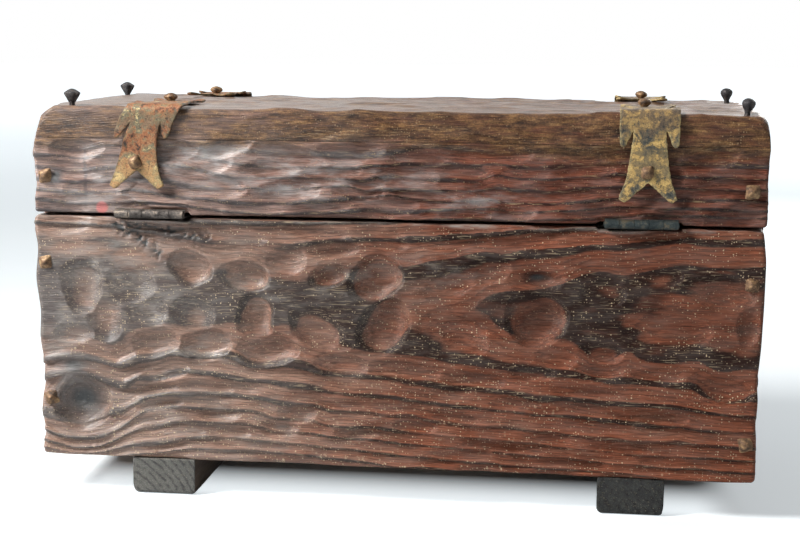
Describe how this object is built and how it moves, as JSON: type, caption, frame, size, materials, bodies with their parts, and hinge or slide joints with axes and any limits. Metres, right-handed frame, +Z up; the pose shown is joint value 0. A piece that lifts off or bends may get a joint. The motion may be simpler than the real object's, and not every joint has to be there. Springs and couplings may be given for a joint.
{
  "type": "coffer chest",
  "caption": "Low plank coffer chest with a flat hinged lid, barbed iron straps, forged nails and two sledge runners.",
  "frame": {"origin": "underside of the runners, below the middle of the chest", "axes": "+X along the chest to its right end as seen from the front, +Y to the hinged back, +Z up"},
  "size_m": [0.54, 0.249, 0.3074],
  "materials": {
    "carved_wood": "scorched and brushed softwood, dark stained and waxed",
    "plain_wood": "sawn, bare",
    "runner_wood": "sawn, dark stained",
    "hinge_steel": "dull, lightly rusted",
    "strap_iron": "forged sheet, rusted",
    "nail_iron": "forged, rusted",
    "stud_iron": "forged, blackened"
  },
  "bodies": {
    "base": {"base_back_board": "carved_wood", "base_front_board": "carved_wood", "base_end_left": "carved_wood", "base_end_right": "carved_wood", "floor_board_front": "plain_wood", "floor_board_back": "plain_wood", "runner_left": "runner_wood", "runner_right": "runner_wood", "hinge_left_base_leaf": "hinge_steel", "hinge_right_base_leaf": "hinge_steel", "hinge_left_pin": "hinge_steel", "hinge_right_pin": "hinge_steel", "base_hinge_screws": "hinge_steel", "base_back_nails": "nail_iron", "base_front_nails": "nail_iron", "floor_nails": "nail_iron", "runner_nails": "nail_iron"},
    "lid": {"lid_top_board": "carved_wood", "lid_back_board": "carved_wood", "lid_front_board": "carved_wood", "lid_end_left": "carved_wood", "lid_end_right": "carved_wood", "hinge_left_lid_leaf": "hinge_steel", "hinge_right_lid_leaf": "hinge_steel", "lid_hinge_screws": "hinge_steel", "strap_back_left": "strap_iron", "strap_back_right": "strap_iron", "strap_front_left": "strap_iron", "strap_front_right": "strap_iron", "strap_face_nails": "nail_iron", "strap_top_nails": "nail_iron", "lid_back_nails": "nail_iron", "lid_front_nails": "nail_iron", "corner_studs": "stud_iron"}
  },
  "joints": [
    {"name": "lid_hinge", "type": "hinge", "parent": "base", "child": "lid", "pos_m": [0, 0.1197, 0.2157], "axis": [-1, 0, 0], "range_deg": [0, 170]}
  ]
}
